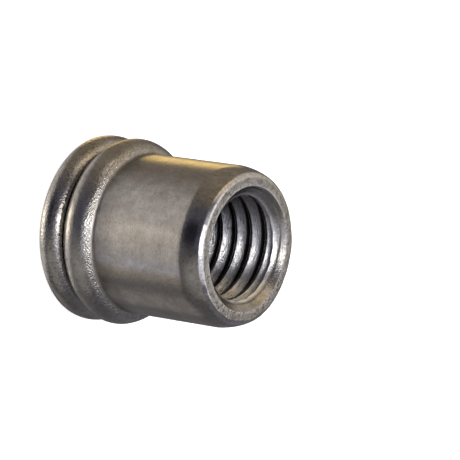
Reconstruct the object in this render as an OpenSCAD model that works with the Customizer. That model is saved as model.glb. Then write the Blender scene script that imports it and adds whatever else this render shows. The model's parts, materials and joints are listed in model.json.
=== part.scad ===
// Blind rivet nut, already set: a one-piece steel fastener, cold headed, drilled and tapped,
// whose thin wall has been pulled up into a folded bulb hard against the flange.
// It stands on the outer face of its flange, with +Z along the axis towards the nose. Millimetres.

/* [Shank] */
// Diameter of the plain shank, which passes through the panel's hole
shank_d = 13; // [12:0.1:14]
// Length over everything, from the flange's outer face to the nose
overall_len = 15.35; // [13:0.05:20]

/* [Flange] */
// Largest diameter of the flange, at the crown of its barrelled rim
flange_d = 15.15; // [14.6:0.05:18]
// Thickness of the flange
flange_t = 1.9; // [1.7:0.05:2.4]
// Radius of the barrelled rim, which runs out tangent to the flange's inner face
rim_r = 1.3; // [1:0.05:1.5]
// Radius on the edge of the outer face
rim_edge_r = 0.25; // [0.1:0.05:0.4]

/* [Upset bulb] */
// Diameter over the crest of the bulb
bulb_d = 15.15; // [14.6:0.05:16]
// Thickness of the thin wall, which lies double in the bulb
wall_t = 1.1; // [0.9:0.05:1.2]
// Width of the crevice between the two folded layers, at its closed end
fold_tip_w = 0.2; // [0.1:0.05:0.3]
// Width of the same crevice where it opens into the bore
fold_mouth_w = 0.7; // [0.4:0.05:0.9]
// Width of the groove between the flange and the bulb
groove_w = 0.15; // [0.1:0.05:0.4]
// Radius of the bulb's flatter front, which faces the nose
front_r = 1.9; // [1.4:0.05:2.4]
// Angle from the axis at which the front runs on from the bulb's round crest
front_turn = 73.74; // [60:0.01:80]

/* [Nose] */
// Length of the crowned taper at the nose
nose_len = 1.85; // [1.4:0.05:2.4]
// How far the crowned taper draws in, on the radius, before its edge round
nose_drop = 0.52; // [0.4:0.02:0.9]
// Radius of the crowned taper
nose_crown_r = 5.4; // [3.5:0.1:8]
// Radius on the edge of the end face
nose_edge_r = 0.4; // [0.1:0.05:0.5]

/* [Bore] */
// Minor diameter of the M10 x 1.5 thread, tapped from the thin-walled end to the nose
thread_minor_d = 8.376; // [8:0.001:8.7]
// Depth of the countersink in the end face, down to the minor diameter
countersink_depth = 0.83; // [0.4:0.01:0.9]
// Full angle of the countersink, and of the lead-in at the other end of the thread
countersink_angle = 90; // [80:5:120]
// Chamfer where the screw enters through the flange
entry_chamfer = 0.3; // [0.1:0.05:0.5]

/* [Hidden] */
$fn = 96;
// How far a cutting shape runs past the part
past = 1;

shank_r = shank_d / 2;
flange_r = flange_d / 2;
entry_r = shank_r - wall_t;
minor_r = thread_minor_d / 2;
cone_slope = tan(countersink_angle / 2);

// Centres in the section, as [radius, height].
rim_c = [flange_r - rim_r, flange_t - rim_r];
bulb_r = wall_t + fold_tip_w / 2;
bulb_c = [bulb_d / 2 - bulb_r, flange_t + groove_w + bulb_r];
front_way = [sin(front_turn), cos(front_turn)];
front_c = bulb_c - (front_r - bulb_r) * front_way;
nose_start = [shank_r, overall_len - nose_len];
nose_end = [shank_r - nose_drop, overall_len];
nose_c = arc_centre(nose_start, nose_end, nose_crown_r);

// The bore starts to narrow to the thread level with the crease where the bulb's front meets the shank.
lead_in_z = front_c[1] + sqrt(max(pow(front_r, 2) - pow(shank_r - front_c[0], 2), 0));

// Centre of the outward-bulging arc of radius r from p up to q.
function arc_centre(p, q, r) =
    let (chord = q - p, reach = sqrt(pow(r, 2) - pow(norm(chord) / 2, 2)))
    (p + q) / 2 + reach / norm(chord) * [-chord[1], chord[0]];

// Centre of an edge round of radius e between a disc and the level at the given height.
function edge_centre(disc_c, disc_r, e, level) =
    [disc_c[0] + sqrt(pow(disc_r - e, 2) - pow(level - disc_c[1], 2)), level];

// Point where that edge round touches the disc.
function edge_touch(disc_c, disc_r, e, edge_c) =
    disc_c + disc_r / (disc_r - e) * (edge_c - disc_c);

// Disc of radius r in the section.
module disc_at(centre, r) {
    translate(centre) circle(r);
}

// Everything from the axis out to radius r, between two heights.
module band(z0, z1, r) {
    translate([0, z0]) square([r, z1 - z0]);
}

// Flange: a barrelled rim with a rounded edge to the flat outer face.
module flange_section() {
    edge_c = edge_centre(rim_c, rim_r, rim_edge_r, rim_edge_r);
    touch = edge_touch(rim_c, rim_r, rim_edge_r, edge_c);
    band(0, flange_t, rim_c[0]);
    band(0, rim_c[1], edge_c[0]);
    disc_at(edge_c, rim_edge_r);
    intersection() {
        disc_at(rim_c, rim_r);
        band(touch[1], flange_t, flange_r + past);
    }
}

// Bulb: two layers of wall with the fold's round crest, and a flatter front that runs on from the crest
// down to a crease at the shank.
module bulb_section() {
    crest_end = bulb_c + bulb_r * front_way;
    band(bulb_c[1] - bulb_r, bulb_c[1] + bulb_r, bulb_c[0]);
    disc_at(bulb_c, bulb_r);
    intersection() {
        disc_at(front_c, front_r);
        band(crest_end[1], front_c[1] + front_r, bulb_d / 2 + past);
    }
}

// Shank: a plain cylinder up to the nose's crowned taper, with a rounded edge to the flat end face.
module shank_section() {
    edge_c = edge_centre(nose_c, nose_crown_r, nose_edge_r, overall_len - nose_edge_r);
    touch = edge_touch(nose_c, nose_crown_r, nose_edge_r, edge_c);
    difference() {
        band(0, touch[1], shank_r);
        difference() {
            translate(nose_c) square(nose_crown_r + past);
            disc_at(nose_c, nose_crown_r);
        }
    }
    band(nose_start[1], overall_len, edge_c[0]);
    disc_at(edge_c, nose_edge_r);
}

// Bore: screw entry, lead-in cone, tapped length at its minor diameter, and countersink.
module bore_section() {
    polygon([
        [0, -past],
        [entry_r + entry_chamfer + past, -past],
        [entry_r, entry_chamfer],
        [entry_r, lead_in_z],
        [minor_r, lead_in_z + (entry_r - minor_r) / cone_slope],
        [minor_r, overall_len - countersink_depth],
        [minor_r + (countersink_depth + past) * cone_slope, overall_len + past],
        [0, overall_len + past]
    ]);
}

// Crevice between the two folded layers, narrowing to a round end inside the bulb.
module fold_section() {
    tip_r = fold_tip_w / 2;
    disc_at(bulb_c, tip_r);
    polygon([
        bulb_c - [0, tip_r],
        bulb_c + [0, tip_r],
        [entry_r, bulb_c[1] + fold_mouth_w / 2],
        [entry_r - past, bulb_c[1] + fold_mouth_w / 2],
        [entry_r - past, bulb_c[1] - fold_mouth_w / 2],
        [entry_r, bulb_c[1] - fold_mouth_w / 2]
    ]);
}

module rivet_nut() {
    color("#8d867c") rotate_extrude() difference() {
        union() {
            flange_section();
            bulb_section();
            shank_section();
        }
        bore_section();
        fold_section();
    }
}

rivet_nut();
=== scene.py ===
"""Looks of a set blind rivet nut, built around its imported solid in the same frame, in metres."""

import json
import math

import bpy
from mathutils import Matrix, Vector


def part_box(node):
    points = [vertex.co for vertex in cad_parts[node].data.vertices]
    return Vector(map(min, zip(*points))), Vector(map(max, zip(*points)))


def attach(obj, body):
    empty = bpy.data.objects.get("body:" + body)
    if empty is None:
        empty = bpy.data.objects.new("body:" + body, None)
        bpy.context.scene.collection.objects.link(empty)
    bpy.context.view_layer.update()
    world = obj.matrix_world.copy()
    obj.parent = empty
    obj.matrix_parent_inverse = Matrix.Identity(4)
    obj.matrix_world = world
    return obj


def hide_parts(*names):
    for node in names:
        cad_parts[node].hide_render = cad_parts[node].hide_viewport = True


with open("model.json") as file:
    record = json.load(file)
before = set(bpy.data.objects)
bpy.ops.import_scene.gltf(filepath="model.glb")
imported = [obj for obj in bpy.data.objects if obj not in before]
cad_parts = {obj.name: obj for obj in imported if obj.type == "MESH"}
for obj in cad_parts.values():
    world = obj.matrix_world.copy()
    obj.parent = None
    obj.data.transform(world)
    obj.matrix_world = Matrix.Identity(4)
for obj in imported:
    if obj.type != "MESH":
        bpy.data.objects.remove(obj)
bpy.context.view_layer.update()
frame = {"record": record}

# Rivet nut
# One cold-headed sleeve of mild steel: a barrelled flange, a thin wall folded into a bulb against it,
# a plain shank and a crowned nose. It is bored and tapped M10 x 1.5 right through, and satin plated.

MM = 0.001
mounts = {mount["name"]: mount for mount in frame["record"]["mounts"]}
low_corner, high_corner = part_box("rivet_nut")

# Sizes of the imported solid's section, in millimetres and degrees
SHANK_R = mounts["shank"]["dims"]["r_mm"]
ENTRY_R = mounts["screw_entry"]["dims"]["r_mm"]
MINOR_R = mounts["thread"]["dims"]["r_mm"]
NUT_L = round(high_corner.z / MM, 3)
FLANGE_R = round(high_corner.x / MM, 3)
RIM_R, RIM_Z, RIM_EDGE_R = 1.3, 0.6, 0.25
BULB_R, BULB_Z = 1.2, 3.25
FRONT_R, FRONT_TURN = 1.9, 73.74
NOSE_L, NOSE_DROP, NOSE_CROWN_R, NOSE_EDGE_R = 1.85, 0.52, 5.4, 0.4
COUNTERSINK, CHAMFER = 0.83, 0.3
FOLD_MOUTH, FOLD_TIP_R = 0.7, 0.1

# Radii of two forms that are too fine for the solid: the fillet at the bulb's foot, and the nose's worn edge
CREASE_R, RIM_WORN_R = 0.3, 0.8

# The thread starts at a share of a turn, and its rows are close enough to show its rounded crests.
PITCH, MAJOR_R = 1.5, 5.0
THREAD_START = 0.01
ROWS_PER_PITCH = 20
SEGMENTS = 256


def arc(centre, radius, start, end, steps):
    """Points of an arc in the section. Angles are in degrees, from the nose direction outwards."""
    angles = [math.radians(start + (end - start) * k / steps) for k in range(steps + 1)]
    return [(centre[0] + radius * math.sin(a), centre[1] + radius * math.cos(a)) for a in angles]


def line(start, end, steps):
    """Points of a straight stretch in the section, its two ends among them."""
    shares = [k / steps for k in range(steps + 1)]
    return [tuple(a + (b - a) * share for a, b in zip(start, end)) for share in shares]


def bearing(centre, point):
    """Angle of a point seen from an arc's centre, as arc() takes it."""
    return math.degrees(math.atan2(point[0] - centre[0], point[1] - centre[1]))


def edge_round(centre, radius, edge_r, level):
    """Centre of the edge round between an arc and the level face, and the angle where they touch."""
    reach = math.sqrt((radius - edge_r) ** 2 - (level - centre[1]) ** 2)
    middle = (centre[0] + reach, level)
    return middle, bearing(centre, middle)


def arc_height(centre, radius, from_axis):
    """Height of an arc above its centre's level, at a distance from the axis."""
    return math.sqrt(radius ** 2 - (from_axis - centre[0]) ** 2)


def arc_centre(start, end, radius):
    """Centre of the outward-bulging arc from one point up to another."""
    chord = end - start
    reach = math.sqrt(radius ** 2 - (chord.length / 2) ** 2)
    return (start + end) / 2 + Vector((-chord.y, chord.x)) * reach / chord.length


# Places in the section, as distance from the axis and height
rim_c = (FLANGE_R - RIM_R, RIM_Z)
rim_edge_c, rim_touch = edge_round(rim_c, RIM_R, RIM_EDGE_R, RIM_EDGE_R)
bulb_c = (FLANGE_R - BULB_R, BULB_Z)
groove_top = (SHANK_R, RIM_Z + arc_height(rim_c, RIM_R, SHANK_R))
groove_end = (SHANK_R, BULB_Z - arc_height(bulb_c, BULB_R, SHANK_R))
front_a = math.radians(FRONT_TURN)
front_off = FRONT_R - BULB_R
front_c = (bulb_c[0] - front_off * math.sin(front_a), BULB_Z - front_off * math.cos(front_a))
crease = (SHANK_R, front_c[1] + arc_height(front_c, FRONT_R, SHANK_R))
crease_out = SHANK_R + CREASE_R
crease_c = (crease_out, front_c[1] + arc_height(front_c, FRONT_R + CREASE_R, crease_out))
front_end = bearing(front_c, crease_c)
nose_start = Vector((SHANK_R, NUT_L - NOSE_L))
nose_end = Vector((SHANK_R - NOSE_DROP, NUT_L))
nose_c = arc_centre(nose_start, nose_end, NOSE_CROWN_R)
nose_edge_c, nose_touch = edge_round(nose_c, NOSE_CROWN_R, NOSE_EDGE_R, NUT_L - NOSE_EDGE_R)
nose_rim = Vector(arc(nose_edge_c, NOSE_EDGE_R, nose_touch, 0, 1)[0])
face_rim = Vector((nose_edge_c[0], NUT_L))
rim_worn_c = arc_centre(nose_rim, face_rim, RIM_WORN_R)
mouth_r = MINOR_R + COUNTERSINK
row_step = PITCH / ROWS_PER_PITCH
tapped_rows = math.ceil((NUT_L - crease[1] + PITCH) / row_step)

# Each run of the section goes with the finish that it has: how it was formed, and whether it is tapped.
# The last number is how many steps it is drawn in.
runs = [
    ("pressed", line((ENTRY_R + CHAMFER, 0), (rim_edge_c[0], 0), 6)),
    ("pressed", arc(rim_edge_c, RIM_EDGE_R, 180, rim_touch, 6)),
    ("pressed", arc(rim_c, RIM_R, rim_touch, bearing(rim_c, groove_top), 30)),
    ("pressed", line(groove_top, groove_end, 3)),
    ("upset", arc(bulb_c, BULB_R, bearing(bulb_c, groove_end), FRONT_TURN, 26)),
    ("upset", arc(front_c, FRONT_R, FRONT_TURN, front_end, 22)),
    ("creased", arc(crease_c, CREASE_R, front_end + 180, 270, 6)),
    ("drawn", line((SHANK_R, crease_c[1]), nose_start, 30)),
    ("crowned", arc(nose_c, NOSE_CROWN_R, bearing(nose_c, nose_start), nose_touch, 16)),
    ("rim", arc(rim_worn_c, RIM_WORN_R, bearing(rim_worn_c, nose_rim), bearing(rim_worn_c, face_rim), 8)),
    ("sheared", line(face_rim, (mouth_r, NUT_L), 8)),
    ("tapped", [(MINOR_R, NUT_L - k * row_step) for k in range(tapped_rows + 1)]),
    ("bored", line((ENTRY_R, crease[1]), (ENTRY_R, BULB_Z + FOLD_MOUTH / 2), 8)),
    ("bored", line((ENTRY_R, BULB_Z + FOLD_MOUTH / 2), (bulb_c[0], BULB_Z + FOLD_TIP_R), 6)),
    ("bored", arc(bulb_c, FOLD_TIP_R, 0, 180, 8)),
    ("bored", line((bulb_c[0], BULB_Z - FOLD_TIP_R), (ENTRY_R, BULB_Z - FOLD_MOUTH / 2), 6)),
    ("bored", line((ENTRY_R, BULB_Z - FOLD_MOUTH / 2), (ENTRY_R, CHAMFER), 12)),
    ("bored", line((ENTRY_R, CHAMFER), (ENTRY_R + CHAMFER, 0), 3)),
]
section = [(finish, point) for finish, run in runs for point in run]
section_mesh = bpy.data.meshes.new("rivet_nut_section")
section_mesh.from_pydata([(r * MM, 0, z * MM) for finish, (r, z) in section], [], [])
weights = {name: [float(finish == name) for finish, point in section] for name, run in runs}

# Painted shade lies in the groove, nearer the bulb, and on the shank, fading away from the bulb's foot. The
# bulb's crest is rubbed dull and its front is grained, the mouth is burred, and the nose's rim is nicked.
# Each ends at its reach from a place in the section, with a soft edge.
GROOVE_SHADE_UP, DULL_UP = 0.1, 0.25
groove_shade_at = ((groove_top[0] + groove_end[0]) / 2, (groove_top[1] + groove_end[1]) / 2 + GROOVE_SHADE_UP)
dull_at = (FLANGE_R, BULB_Z + DULL_UP)
PATCHES = {  # place, reach, soft edge, finishes that it lies on
    # painted shade in the groove between the flange's rim and the bulb
    "oiled": (groove_shade_at, 0.3, 0.25, ("pressed", "upset")),
    # painted shade on the shank, darkest at the bulb's foot and fading along it
    "filmed": (crease, 2.4, 2.4, ("drawn",)),
    "grained": (crease, 0.7, 0.15, ("upset",)),
    "dulled": (dull_at, 0.55, 0.3, ("upset",)),
    "burred": ((mouth_r, NUT_L), 0.3, 0.2, ("sheared",)),
    "nicked": (nose_edge_c, 0.5, 0.5, ("crowned", "rim", "sheared")),
}
for name, (patch_at, patch_reach, soft_edge, lies_on) in PATCHES.items():
    depths = [(patch_reach - math.dist(point, patch_at)) / soft_edge for finish, point in section]
    weights[name] = [min(1.0, max(0.0, depth)) * (finish in lies_on)
                     for depth, (finish, point) in zip(depths, section)]
for name, values in weights.items():
    section_mesh.attributes.new(name, "FLOAT", "POINT").data.foreach_set("value", values)
nut = bpy.data.objects.new("rivet_nut_body", section_mesh)
bpy.context.scene.collection.objects.link(nut)

# Kinds of node that come often, and two settings that go with them
MATH, VECTOR_MATH = "ShaderNodeMath", "ShaderNodeVectorMath"
NOISE, MAP_RANGE, MIX = "ShaderNodeTexNoise", "ShaderNodeMapRange", "ShaderNodeMix"
COLOUR, SMOOTH = {"data_type": "RGBA"}, {"interpolation_type": "SMOOTHSTEP"}


def add_node(tree, kind, settings=None, *values, **links):
    """One node with its settings, of which a single word is its operation. Its inputs are set in order, or by
    name in lower case with underscores: to a plain value, or to a socket or the first output of a node."""
    node = tree.nodes.new(kind)
    if isinstance(settings, str):
        settings = {"operation": settings}
    for key, value in (settings or {}).items():
        setattr(node, key, value)
    shown = [socket for socket in node.inputs if socket.enabled]
    named = {socket.name.lower().replace(" ", "_"): socket for socket in reversed(shown)}
    pairs = list(zip(node.inputs, values)) + [(named[key], value) for key, value in links.items()]
    for socket, value in pairs:
        if isinstance(value, bpy.types.Node):
            value = next(output for output in value.outputs if output.enabled)
        if isinstance(value, bpy.types.NodeSocket):
            tree.links.new(value, socket)
        else:
            socket.default_value = value
    return node


def linear(code, level=1.0):
    """A linear colour from an sRGB hex value, at a level of light."""
    parts = [int(code[k:k + 2], 16) / 255 for k in (1, 3, 5)]
    return [level * (c / 12.92 if c <= 0.04045 else ((c + 0.055) / 1.055) ** 2.4) for c in parts] + [1.0]


# Satin plated mild steel: a warm grey metal, dull and mottled on the drawn shank, brighter where it was
# pressed or cut, grainy like orange peel where the wall was upset, with dark grit in its pores, and with
# painted shade in the groove, on the shank by the bulb and deep in the thread. Sizes of its patterns, and
# heights of its grain and its tool marks, are in millimetres.
WARM_STEEL, COOL_STEEL, WORN_STEEL = "#bab2a6", "#b4b4b8", "#908b84"
# The dark colour serves both for grit in the pits and for painted shade.
CUT_STEEL, GRIT_AND_PAINTED_SHADE = "#dcdbde", "#1a1815"
TINT_MM, MOTTLE_MM, GRIT_MM, PEEL_MM = 3.5, 1.1, 0.25, 0.15
STREAK_MM, STREAK_L_MM, STREAK_SHARE = 0.5, 4.0, 0.35
WORN_FROM, WORN_FULL = 0.4, 0.95
PIT_FROM, PIT_FULL = 0.5, 0.68
ROUGHNESS = {
    "drawn": 0.24, "upset": 0.19, "dulled": 0.16, "creased": 0.45, "lip": 0.2, "pressed": 0.19,
    "crowned": 0.18, "rim": 0.18, "sheared": 0.18, "tapped": 0.2, "threaded": 0.03, "bored": 0.3,
}
ROUGHNESS_PLAY = 0.05
PEEL_HEIGHT_MM = {
    "drawn": 0.007, "upset": 0.025, "grained": 0.055, "creased": 0.03, "pressed": 0.03, "crowned": 0.006,
    "rim": 0.01, "sheared": 0.045, "burred": 0.03, "tapped": 0.018, "bored": 0.006,
}
MARK_HEIGHT_MM = {"tapped": 0.012, "threaded": 0.02, "sheared": 0.01}
FRESHLY_CUT = {"threaded": 0.8, "rim": 0.3, "lip": 1.0, "burred": 0.5}
# The sheared face is a duller tone and the thread a little darker all over. The rest is painted shade: in the
# groove, on the shank by the bulb and deep in the thread's roots, with a painted dark reflection on its
# crests.
DARKENED = {"sheared": 0.35, "oiled": 2.5, "filmed": 0.5, "threaded": 0.3, "root": 1.0, "crest": 0.9}
GRIT_IN_PITS = {
    "drawn": 0.2, "upset": 0.35, "creased": 0.35, "pressed": 0.4, "crowned": 0.35, "rim": 0.4, "sheared": 0.6,
    "tapped": 0.25,
}
# The tap and the countersink leave fine marks round the bore, drawn coarser than they are so that they show.
MARK_MM = 0.05

steel = bpy.data.materials.new("satin_plated_steel")
steel.use_nodes = True
plating = steel.node_tree
plating.nodes.clear()
on_nut = add_node(plating, "ShaderNodeTexCoord").outputs["Object"]


def by_finish(values):
    """A number of the material that differs from finish to finish."""
    total = 0.0
    for name, value in values.items():
        weight = add_node(plating, "ShaderNodeAttribute", {"attribute_name": name}).outputs["Fac"]
        total = add_node(plating, MATH, "MULTIPLY_ADD", weight, value, total)
    return total


mottle = add_node(plating, NOISE, vector=on_nut, scale=1 / (MOTTLE_MM * MM), detail=6.0, roughness=0.65)
drawn_out = add_node(plating, VECTOR_MATH, "MULTIPLY", on_nut, (1.0, 1.0, STREAK_MM / STREAK_L_MM))
streaks = add_node(plating, NOISE, vector=drawn_out, scale=1 / (STREAK_MM * MM), detail=3.0)
wear = add_node(plating, MATH, "MULTIPLY_ADD", streaks, STREAK_SHARE, mottle)
clean = add_node(plating, MAP_RANGE, value=wear, from_min=WORN_FROM, from_max=WORN_FULL)
tint = add_node(plating, NOISE, vector=on_nut, scale=1 / (TINT_MM * MM), detail=2.0)
tinted = add_node(plating, MIX, COLOUR, factor=tint, a=linear(WARM_STEEL), b=linear(COOL_STEEL))
worn = add_node(plating, MIX, COLOUR, factor=clean, a=linear(WORN_STEEL), b=tinted)
fresh = add_node(plating, MIX, COLOUR, factor=by_finish(FRESHLY_CUT), a=worn, b=linear(CUT_STEEL))
grit = add_node(plating, NOISE, vector=on_nut, scale=1 / (GRIT_MM * MM), detail=4.0, roughness=0.7)
pits = add_node(plating, MAP_RANGE, value=grit, from_min=PIT_FROM, from_max=PIT_FULL)
# Grit darkens the pits at random, and the darkened table adds the duller tones and the painted shade.
grit_and_shade = add_node(plating, MATH, "MULTIPLY_ADD", pits, by_finish(GRIT_IN_PITS), by_finish(DARKENED))
gritted_and_shaded = add_node(plating, MIX, COLOUR, factor=grit_and_shade, a=fresh, b=linear(GRIT_AND_PAINTED_SHADE))
play = add_node(plating, MAP_RANGE, value=clean, to_min=ROUGHNESS_PLAY, to_max=-ROUGHNESS_PLAY)
rough = add_node(plating, MATH, "ADD", by_finish(ROUGHNESS), play)

axes = add_node(plating, "ShaderNodeSeparateXYZ", vector=on_nut).outputs
level_place = add_node(plating, "ShaderNodeCombineXYZ", x=axes["X"], y=axes["Y"])
from_axis = add_node(plating, VECTOR_MATH, "LENGTH", level_place).outputs["Value"]
in_section = add_node(plating, "ShaderNodeCombineXYZ", x=from_axis, y=axes["Z"])
marks = add_node(plating, NOISE, vector=in_section, scale=1 / (MARK_MM * MM), detail=1.0)
marks_off = add_node(plating, MATH, "SUBTRACT", marks, 0.5)
tool_marks = add_node(plating, MATH, "MULTIPLY", marks_off, by_finish(MARK_HEIGHT_MM))
peel = add_node(plating, NOISE, vector=on_nut, scale=1 / (PEEL_MM * MM), detail=2.0)
peel_off = add_node(plating, MATH, "SUBTRACT", peel, 0.5)
relief = add_node(plating, MATH, "MULTIPLY_ADD", peel_off, by_finish(PEEL_HEIGHT_MM), tool_marks)
bump = add_node(plating, "ShaderNodeBump", distance=MM, height=relief)
metal = add_node(plating, "ShaderNodeBsdfPrincipled", metallic=1.0, base_color=gritted_and_shaded, roughness=rough,
                 normal=bump)
add_node(plating, "ShaderNodeOutputMaterial", surface=metal)

# The sweep turns the section about the axis. Its tapped rows climb by one pitch a turn, and each of their
# points lies on the thread, or on the countersink or the lead-in where that is wider. The flanks are 70
# degrees apart, not 60, and crests and roots are well rounded, so that a highlight covers a whole flank.
ROOT_HALF = 1 / 16  # of the pitch
FLANK_ANGLE = 70
FLANK_SLOPE = math.tan(math.radians(90 - FLANK_ANGLE / 2))
RUN_OUT_FROM, RUN_OUT_FULL = -0.2, 0.1  # from where the countersink leaves the crests
NICKS_ROUND, NICK_SEED, NICK_FROM, NICK_GAIN = 9.0, 3.0, 0.4, 4.0
SHARP_ANGLE = math.radians(35)
SEAM_GAP = 0.001
sizes = {
    "Pitch": PITCH, "Major radius": MAJOR_R, "Minor radius": MINOR_R, "Mouth height": NUT_L,
    "Mouth radius": mouth_r, "Lead-in height": crease[1], "Lead-in radius": ENTRY_R, "Crest rounding": 0.3,
    "Root rounding": 0.2, "Mouth groove": 0.05, "Mouth rounding": 0.08, "Nick depth": 0.1,
    "Lip height": 0.1, "Lip width": 0.25,
}
sweep_inputs = {name: ("NodeSocketFloat", size * MM) for name, size in sizes.items()}
sweep_inputs["Thread start"] = ("NodeSocketFloat", THREAD_START)
sweep_inputs["Segments"] = ("NodeSocketInt", SEGMENTS)
sweep = bpy.data.node_groups.new("sweep_with_thread", "GeometryNodeTree")
sweep.interface.new_socket("Geometry", in_out="INPUT", socket_type="NodeSocketGeometry")
sockets = {}
for name, (socket_type, value) in sweep_inputs.items():
    sockets[name] = sweep.interface.new_socket(name, in_out="INPUT", socket_type=socket_type)
sweep.interface.new_socket("Geometry", in_out="OUTPUT", socket_type="NodeSocketGeometry")
given = add_node(sweep, "NodeGroupInput").outputs

# Each row of the grid is a point of the section, and each column is a place round the axis.
counts = add_node(sweep, "GeometryNodeAttributeDomainSize", geometry=given["Geometry"]).outputs
columns = add_node(sweep, MATH, "ADD", given["Segments"], 1)
grid = add_node(sweep, "GeometryNodeMeshGrid", vertices_x=counts["Point Count"], vertices_y=columns)
index = add_node(sweep, "GeometryNodeInputIndex")
index_middle = add_node(sweep, MATH, "ADD", index, 0.5)
rows_done = add_node(sweep, MATH, "DIVIDE", index_middle, columns)
row = add_node(sweep, MATH, "FLOOR", rows_done)
row_first = add_node(sweep, MATH, "MULTIPLY", row, columns)
column = add_node(sweep, MATH, "SUBTRACT", index, row_first)
turn = add_node(sweep, MATH, "DIVIDE", column, given["Segments"])
angle = add_node(sweep, MATH, "MULTIPLY", turn, 2 * math.pi)
cosine = add_node(sweep, MATH, "COSINE", angle)
sine = add_node(sweep, MATH, "SINE", angle)
position = add_node(sweep, "GeometryNodeInputPosition")
row_point = add_node(sweep, "GeometryNodeSampleIndex", {"data_type": "FLOAT_VECTOR", "domain": "POINT"},
                     geometry=given["Geometry"], value=position, index=row)
row_at = add_node(sweep, "ShaderNodeSeparateXYZ", vector=row_point).outputs
row_finish = {}
for name in weights:
    weight = add_node(sweep, "GeometryNodeInputNamedAttribute", {"data_type": "FLOAT"}, name=name)
    row_finish[name] = add_node(sweep, "GeometryNodeSampleIndex", {"data_type": "FLOAT", "domain": "POINT"},
                                geometry=given["Geometry"], value=weight, index=row)
tapped = row_finish["tapped"]

# The tapped rows are held between the lead-in and the mouth.
climbed = add_node(sweep, MATH, "MULTIPLY_ADD", turn, given["Pitch"], row_at["Z"])
above_lead_in = add_node(sweep, MATH, "MAXIMUM", climbed, given["Lead-in height"])
in_bore = add_node(sweep, MATH, "MINIMUM", above_lead_in, given["Mouth height"])
lift = add_node(sweep, MATH, "SUBTRACT", in_bore, row_at["Z"])
height = add_node(sweep, MATH, "MULTIPLY_ADD", tapped, lift, row_at["Z"])

# The thread's radius follows from how far a point is from the middle of the root, as a share of the pitch.
pitches_up = add_node(sweep, MATH, "DIVIDE", height, given["Pitch"])
pitches_past = add_node(sweep, MATH, "SUBTRACT", pitches_up, turn)
pitches_on = add_node(sweep, MATH, "ADD", pitches_past, given["Thread start"])
phase = add_node(sweep, MATH, "FRACT", pitches_on)
phase_off = add_node(sweep, MATH, "SUBTRACT", phase, 0.5)
from_root = add_node(sweep, MATH, "ABSOLUTE", phase_off)
past_root = add_node(sweep, MATH, "SUBTRACT", from_root, ROOT_HALF)
rise = add_node(sweep, MATH, "MULTIPLY", past_root, FLANK_SLOPE)
inward = add_node(sweep, MATH, "MULTIPLY", rise, given["Pitch"])
flank = add_node(sweep, MATH, "SUBTRACT", given["Major radius"], inward)
crested = add_node(sweep, MATH, "SMOOTH_MAX", flank, given["Minor radius"], given["Crest rounding"])
thread = add_node(sweep, MATH, "SMOOTH_MIN", crested, given["Major radius"], given["Root rounding"])

# The countersink and the lead-in are 45 degree cones, and the thread runs out into the countersink.
from_mouth = add_node(sweep, MATH, "SUBTRACT", height, given["Mouth height"])
sink = add_node(sweep, MATH, "ADD", given["Mouth radius"], from_mouth)
from_lead_in = add_node(sweep, MATH, "SUBTRACT", given["Lead-in height"], height)
lead_in = add_node(sweep, MATH, "ADD", given["Lead-in radius"], from_lead_in)
cone = add_node(sweep, MATH, "MAXIMUM", sink, lead_in)
is_thread = add_node(sweep, MATH, "GREATER_THAN", given["Minor radius"], cone)
threaded = add_node(sweep, MATH, "MULTIPLY", tapped, is_thread)
past_thread = add_node(sweep, MATH, "SUBTRACT", sink, given["Minor radius"])
in_sink = add_node(sweep, MAP_RANGE, SMOOTH, value=past_thread, from_min=RUN_OUT_FROM * MM,
                   from_max=RUN_OUT_FULL * MM)
groove = add_node(sweep, MATH, "ADD", sink, given["Mouth groove"])
shallow = add_node(sweep, MATH, "MINIMUM", thread, groove)
shallower = add_node(sweep, MATH, "SUBTRACT", shallow, thread)
run_out = add_node(sweep, MATH, "MULTIPLY_ADD", in_sink, shallower, thread)
mouth = add_node(sweep, MATH, "SMOOTH_MAX", run_out, cone, given["Mouth rounding"])

# The countersink pushed up a thin lip where it meets the thread.
sink_in = add_node(sweep, MATH, "SUBTRACT", given["Minor radius"], given["Mouth radius"])
lip_level = add_node(sweep, MATH, "ADD", given["Mouth height"], sink_in)
from_lip = add_node(sweep, MATH, "SUBTRACT", height, lip_level)
lip_off = add_node(sweep, MATH, "DIVIDE", from_lip, given["Lip width"])
lip_fall = add_node(sweep, MATH, "MULTIPLY", lip_off, lip_off)
lip_left = add_node(sweep, MATH, "SUBTRACT", 1.0, lip_fall)
lip_share = add_node(sweep, MATH, "MAXIMUM", lip_left, 0.0)
lip_rounded = add_node(sweep, MATH, "MULTIPLY", lip_share, lip_share)
lip = add_node(sweep, MATH, "MULTIPLY", tapped, lip_rounded)
lip_inward = add_node(sweep, MATH, "MULTIPLY", lip, given["Lip height"])
bore = add_node(sweep, MATH, "SUBTRACT", mouth, lip_inward)
bore_out = add_node(sweep, MATH, "SUBTRACT", bore, row_at["X"])
radius = add_node(sweep, MATH, "MULTIPLY_ADD", tapped, bore_out, row_at["X"])

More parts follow.
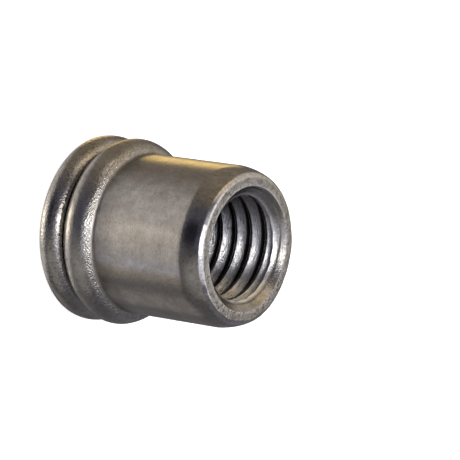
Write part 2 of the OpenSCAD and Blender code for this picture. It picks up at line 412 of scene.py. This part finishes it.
# Knocks have nicked the nose's rim.
circle = add_node(sweep, "ShaderNodeCombineXYZ", x=cosine, y=sine, z=NICK_SEED)
knocks = add_node(sweep, NOISE, vector=circle, scale=NICKS_ROUND / 2, detail=3.0)
knocks_over = add_node(sweep, MATH, "MULTIPLY_ADD", knocks, NICK_GAIN, -NICK_GAIN * NICK_FROM)
dents = add_node(sweep, MATH, "MAXIMUM", knocks_over, 0.0)
nick_depth = add_node(sweep, MATH, "MULTIPLY", row_finish["nicked"], given["Nick depth"])
nick = add_node(sweep, MATH, "MULTIPLY", nick_depth, dents)
nicked_radius = add_node(sweep, MATH, "SUBTRACT", radius, nick)
nicked_height = add_node(sweep, MATH, "SUBTRACT", height, nick)
out_x = add_node(sweep, MATH, "MULTIPLY", nicked_radius, cosine)
out_y = add_node(sweep, MATH, "MULTIPLY", nicked_radius, sine)
place = add_node(sweep, "ShaderNodeCombineXYZ", x=out_x, y=out_y, z=nicked_height)
shape = add_node(sweep, "GeometryNodeSetPosition", geometry=grid, position=place)

# The material reads the finishes, and the masks of painted shade, off the swept mesh. Painted shade darkens
# the thread's roots, and a painted dark reflection its narrow crests.
finishes = {"threaded": threaded, "lip": lip}
THREAD_FADES = {  # radii where the dark starts and where it is full
    # painted shade deep in the thread's roots
    "root": (MAJOR_R - 0.18, MAJOR_R - 0.05),
    # a painted dark reflection on the thread's narrow crests
    "crest": (MINOR_R + 0.07, MINOR_R + 0.02),
}
for name, (start, full) in THREAD_FADES.items():
    fade = add_node(sweep, MAP_RANGE, SMOOTH, value=bore, from_min=start * MM, from_max=full * MM)
    finishes[name] = add_node(sweep, MATH, "MULTIPLY", fade, threaded)
finishes.update(row_finish)
for name, weight in finishes.items():
    shape = add_node(sweep, "GeometryNodeStoreNamedAttribute", {"data_type": "FLOAT", "domain": "POINT"},
                     geometry=shape, name=name, value=weight)
closed = add_node(sweep, "GeometryNodeMergeByDistance", geometry=shape, distance=SEAM_GAP * MM)
outward = add_node(sweep, "GeometryNodeFlipFaces", mesh=closed)
realized = add_node(sweep, "GeometryNodeRealizeInstances", geometry=outward)
plated = add_node(sweep, "GeometryNodeSetMaterial", geometry=realized, material=steel)
add_node(sweep, "NodeGroupOutput", geometry=plated)

modifier = nut.modifiers.new("sweep", "NODES")
modifier.node_group = sweep
for name, (socket_type, value) in sweep_inputs.items():
    modifier[sockets[name].identifier] = value
swept = nut.evaluated_get(bpy.context.evaluated_depsgraph_get())
nut_mesh = bpy.data.meshes.new_from_object(swept)
nut.modifiers.remove(modifier)
nut.data = nut_mesh
nut_mesh.shade_smooth()
nut_mesh.set_sharp_from_angle(angle=SHARP_ANGLE)
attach(nut, "root")
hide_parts("rivet_nut")

# Floor
# A sheet of matt white paper, laid flat on a table for the nut to stand on. Only the camera sees it, and it
# glows a little so that it stays white: what the metal mirrors is the studio below.

FLOOR_HALF = 2.0
PAPER_ROUGHNESS, PAPER_GLOW = 0.9, 0.6


def paper_sheet(name, corners, material_name, code, glow):
    """A flat sheet of matt paper, which may glow white."""
    paper = bpy.data.materials.new(material_name)
    paper.use_nodes = True
    paper.node_tree.nodes.clear()
    matt = add_node(paper.node_tree, "ShaderNodeBsdfPrincipled", base_color=linear(code),
                    roughness=PAPER_ROUGHNESS, emission_color=linear("#ffffff"), emission_strength=glow)
    add_node(paper.node_tree, "ShaderNodeOutputMaterial", surface=matt)
    sheet_mesh = bpy.data.meshes.new(name)
    sheet_mesh.from_pydata(corners, [], [range(len(corners))])
    sheet_mesh.materials.append(paper)
    sheet = bpy.data.objects.new(name, sheet_mesh)
    bpy.context.scene.collection.objects.link(sheet)
    return sheet


square = [(x * FLOOR_HALF, y * FLOOR_HALF, low_corner.z) for x, y in ((-1, -1), (1, -1), (1, 1), (-1, 1))]
floor = paper_sheet("floor", square, "white_paper", "#f4f3f1", PAPER_GLOW)
floor.visible_glossy = False
floor.visible_diffuse = False
floor.visible_shadow = False

# The paper inside the standing nut gets no light, so a dark disc closes the bore for what the metal mirrors.
DISC_SIDES, DISC_LIFT = 48, 0.02
disc_turns = [2 * math.pi * k / DISC_SIDES for k in range(DISC_SIDES)]
disc_z = low_corner.z + DISC_LIFT * MM
disc_edge = [(ENTRY_R * MM * math.cos(a), ENTRY_R * MM * math.sin(a), disc_z) for a in disc_turns]
disc = paper_sheet("floor_in_bore", disc_edge, "paper_in_shadow", "#2a2826", 0.0)

# Studio light
# A softbox and two bright strips over the nose, pale and golden cards standing round the nut, a black flag in
# front of it, and a white table below. All are painted on the surroundings, far away, with soft edges.

SURROUNDINGS = ("#f8f4fc", 0.18)
# Each card covers those before it: its colour and level, its angle from the nose direction, its angle round
# from the camera's side towards the top of the picture, how far it is full and where it ends, in degrees.
CARDS = {
    "left_wall": ("#ffecd0", 0.36, 85, 100, 25, 60),
    "right_wall": ("#fffdfa", 0.45, 80, -52, 16, 38),
    "far_wall": ("#fff6e6", 0.85, 55, 150, 15, 50),
    "overhead": ("#f8f9ff", 2.0, 22, 178, 8, 35),
    "black_flag": ("#dcdcff", 0.18, 88, 14, 16, 40),
    "nose_flag": ("#dcdcff", 0.03, 99, 10, 10, 21),
    "golden_left": ("#ffe8c0", 1.15, 50, 101, 7, 20),
    "pale_left": ("#fff4e8", 1.2, 56, 78, 4, 14),
    "softbox": ("#eef0ff", 1.4, 22, -22, 10, 40),
    "strip_top": ("#fbfaf6", 12.0, 13, 2, 4, 11),
    "strip_front": ("#fbfaf6", 8.0, 25, 2, 5, 13),
    "table": ("#fffaf8", 0.9, 165, 13, 38, 52),
    "table_glow": ("#fff6e4", 4.2, 150, 0, 4, 18),
    "low_back": ("#f0ecff", 0.12, 150, 180, 14, 30),
    "right_fill": ("#f4f4ff", 0.22, 50, -113, 8, 28),
    "golden_card": ("#ffdc94", 1.8, 130, 143, 4, 13),
    "back_right": ("#f0ecff", 0.28, 85, -143, 8, 25),
    "low_right": ("#fcf6f4", 0.38, 127, -105, 5, 18),
    "low_gold": ("#fff0d8", 0.45, 127, -58, 3, 10),
    "low_glow": ("#eef0ff", 0.9, 127, -45, 3, 10),
}
world = bpy.data.worlds.new("studio")
bpy.context.scene.world = world
world.use_nodes = True
studio = world.node_tree
studio.nodes.clear()
towards = add_node(studio, "ShaderNodeTexCoord").outputs["Generated"]
light = linear(*SURROUNDINGS)
for code, level, from_nose, round_axis, full, end in CARDS.values():
    tilt, swing = math.radians(from_nose), math.radians(round_axis)
    middle = (-math.sin(tilt) * math.sin(swing), -math.sin(tilt) * math.cos(swing), math.cos(tilt))
    nearness = add_node(studio, VECTOR_MATH, "DOT_PRODUCT", towards, middle).outputs["Value"]
    cover = add_node(studio, MAP_RANGE, SMOOTH, value=nearness, from_min=math.cos(math.radians(end)),
                     from_max=math.cos(math.radians(full)))
    light = add_node(studio, MIX, COLOUR, factor=cover, a=light, b=linear(code, level))
background = add_node(studio, "ShaderNodeBackground", color=light)
add_node(studio, "ShaderNodeOutputWorld", surface=background)

# Camera
# A long lens from above the nose side, rolled so that the nut's axis lies across the picture. Its angles, its
# aim and its distance are those at which the nut's outline falls on the photo's. Millimetres and degrees.

AXIS_TO_VIEW, AXIS_DROP = math.radians(53.085), math.radians(8.277)
FOCAL_PX, IMAGE_PX, SENSOR_MM = 3070, 460, 36
AIM_RIGHT, AIM_DOWN, DISTANCE = 10.71, 0.257, 251.093
CLIP_START = 10
forward = Vector((0, math.sin(AXIS_TO_VIEW), -math.cos(AXIS_TO_VIEW)))
axis_seen = Vector((0, math.cos(AXIS_TO_VIEW), math.sin(AXIS_TO_VIEW)))
across = Vector((1, 0, 0))
right = math.cos(AXIS_DROP) * axis_seen - math.sin(AXIS_DROP) * across
down = math.sin(AXIS_DROP) * axis_seen + math.cos(AXIS_DROP) * across
eye = (AIM_RIGHT * right + AIM_DOWN * down - DISTANCE * forward) * MM
lens = bpy.data.cameras.new("camera")
lens.sensor_width = SENSOR_MM
lens.lens = FOCAL_PX / IMAGE_PX * SENSOR_MM
lens.clip_start = CLIP_START * MM
camera = bpy.data.objects.new("camera", lens)
bpy.context.scene.collection.objects.link(camera)
camera.matrix_world = Matrix((
    (right.x, -down.x, -forward.x, eye.x),
    (right.y, -down.y, -forward.y, eye.y),
    (right.z, -down.z, -forward.z, eye.z),
    (0, 0, 0, 1),
))
bpy.context.scene.camera = camera
bpy.context.scene.view_settings.view_transform = "Standard"
